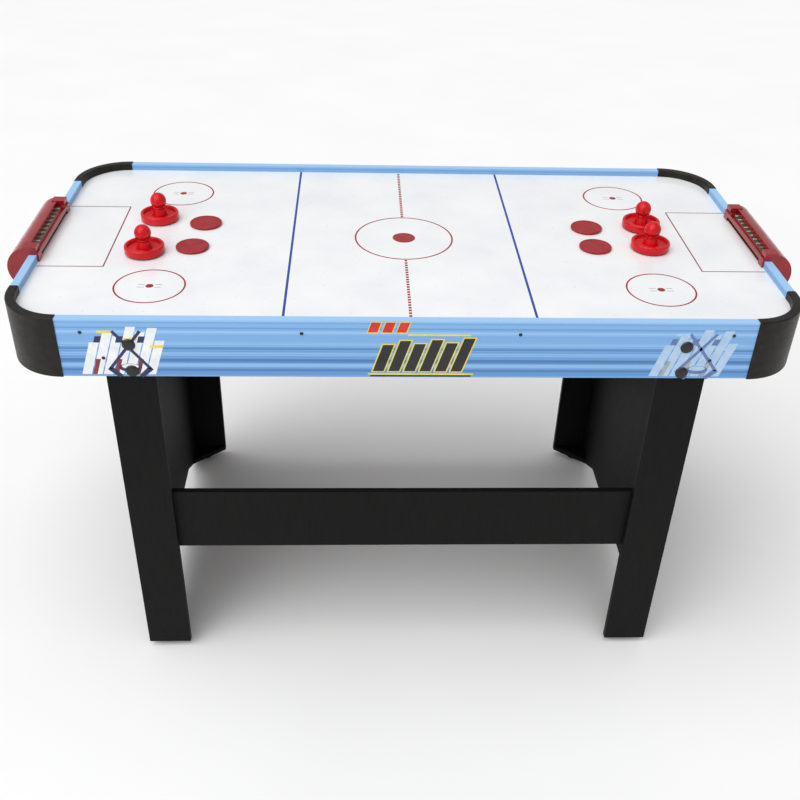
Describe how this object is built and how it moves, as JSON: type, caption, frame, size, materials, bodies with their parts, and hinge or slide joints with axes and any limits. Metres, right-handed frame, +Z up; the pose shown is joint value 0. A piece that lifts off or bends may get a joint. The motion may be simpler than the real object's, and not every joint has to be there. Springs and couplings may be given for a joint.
{
  "type": "air hockey table",
  "caption": "Air hockey table on board legs: perforated playing board over an air chamber with a blower, goals, pushers and pucks.",
  "frame": {"origin": "centre of the footprint, on the floor", "axes": "+X along the length, from goal to goal; +Y across, away from the printed front; +Z up"},
  "size_m": [1.458, 0.708, 0.8305],
  "materials": {
    "field_white": "glossy white laminate with printed lines and a grid of air holes",
    "apron_foil": "board wrapped in sky blue printed foil, semi-gloss",
    "corner_black": "satin moulded black",
    "raw_wood": "unfinished particle board and softwood",
    "hardboard": "bare hardboard",
    "black_plastic": "satin moulded black",
    "fan_plastic": "moulded grey white",
    "steel": "zinc plated",
    "rocker_red": "glossy",
    "cable_black": "matte sheath",
    "goal_red": "tinted translucent, glossy",
    "goal_dark_red": "glossy dark red",
    "score_strip": "printed strip with light figures",
    "leg_black": "board wrapped in black foil, satin",
    "black_metal": "black oxide",
    "pusher_red": "glossy moulded red",
    "felt": "short felt",
    "puck_red": "satin red"
  },
  "bodies": {
    "table": {"playfield": "field_white", "apron_front": "apron_foil", "apron_back": "apron_foil", "apron_left": "apron_foil", "apron_right": "apron_foil", "corner_front_left": "corner_black", "corner_front_right": "corner_black", "corner_back_left": "corner_black", "corner_back_right": "corner_black", "batten_front": "raw_wood", "batten_back": "raw_wood", "batten_left": "raw_wood", "batten_right": "raw_wood", "corner_battens": "raw_wood", "plenum_board": "hardboard", "plenum_posts": "raw_wood", "blower_housing": "black_plastic", "blower_guard": "black_plastic", "blower_motor": "steel", "switch_housing": "black_plastic", "power_jack": "black_plastic", "blower_lead": "cable_black", "goal_housing_left": "goal_red", "goal_housing_right": "goal_red", "goal_liner_left": "goal_dark_red", "goal_liner_right": "goal_dark_red", "score_strip_left": "score_strip", "score_strip_right": "score_strip", "leg_board_front_left": "leg_black", "leg_board_front_right": "leg_black", "leg_board_back_left": "leg_black", "leg_board_back_right": "leg_black", "end_panel_left": "leg_black", "end_panel_right": "leg_black", "stretcher_front": "leg_black", "stretcher_back": "leg_black", "foot_plate_front_left": "leg_black", "foot_plate_front_right": "leg_black", "foot_plate_back_left": "leg_black", "foot_plate_back_right": "leg_black", "feet": "black_plastic", "leg_bolts": "black_metal", "leg_nuts": "steel", "wood_screws": "black_metal"},
    "impeller": {"blower_impeller": "fan_plastic"},
    "rocker": {"switch_rocker": "rocker_red"},
    "slider_left": {"score_slider_left": "goal_dark_red"},
    "slider_right": {"score_slider_right": "goal_dark_red"},
    "pusher_left_back": {"pusher_left_back": "pusher_red", "felt_left_back": "felt"},
    "pusher_left_front": {"pusher_left_front": "pusher_red", "felt_left_front": "felt"},
    "pusher_right_back": {"pusher_right_back": "pusher_red", "felt_right_back": "felt"},
    "pusher_right_front": {"pusher_right_front": "pusher_red", "felt_right_front": "felt"},
    "puck_left_back": {"puck_left_back": "puck_red"},
    "puck_left_front": {"puck_left_front": "puck_red"},
    "puck_right_back": {"puck_right_back": "puck_red"},
    "puck_right_front": {"puck_right_front": "puck_red"}
  },
  "joints": [
    {"name": "impeller_spin", "type": "hinge", "parent": "table", "child": "impeller", "pos_m": [0, 0, 0.705], "axis": [0, 0, 1], "continuous": true},
    {"name": "switch_rock", "type": "hinge", "parent": "table", "child": "rocker", "pos_m": [0.3, 0.348, 0.713], "axis": [1, 0, 0], "range_deg": [-18, 0]},
    {"name": "score_slide_left", "type": "slide", "parent": "table", "child": "slider_left", "axis": [0, 1, 0], "range_m": [-0.176, 0]},
    {"name": "score_slide_right", "type": "slide", "parent": "table", "child": "slider_right", "axis": [0, 1, 0], "range_m": [-0.176, 0]},
    {"name": "pusher_glide_left_back", "type": "slide", "parent": "table", "child": "pusher_left_back", "axis": [0, 1, 0], "range_m": [-0.07, 0.222]},
    {"name": "pusher_glide_left_front", "type": "slide", "parent": "table", "child": "pusher_left_front", "axis": [0, 1, 0], "range_m": [-0.222, 0.07]},
    {"name": "pusher_glide_right_back", "type": "slide", "parent": "table", "child": "pusher_right_back", "axis": [0, 1, 0], "range_m": [-0.02, 0.237]},
    {"name": "pusher_glide_right_front", "type": "slide", "parent": "table", "child": "pusher_right_front", "axis": [0, 1, 0], "range_m": [-0.259, 0.02]},
    {"name": "puck_glide_left_back", "type": "slide", "parent": "table", "child": "puck_left_back", "axis": [1, 0, 0], "range_m": [-0.02, 0.68]},
    {"name": "puck_glide_left_front", "type": "slide", "parent": "table", "child": "puck_left_front", "axis": [1, 0, 0], "range_m": [-0.015, 0.69]},
    {"name": "puck_glide_right_back", "type": "slide", "parent": "table", "child": "puck_right_back", "axis": [1, 0, 0], "range_m": [-0.68, 0.02]},
    {"name": "puck_glide_right_front", "type": "slide", "parent": "table", "child": "puck_right_front", "axis": [1, 0, 0], "range_m": [-0.69, 0.02]}
  ]
}
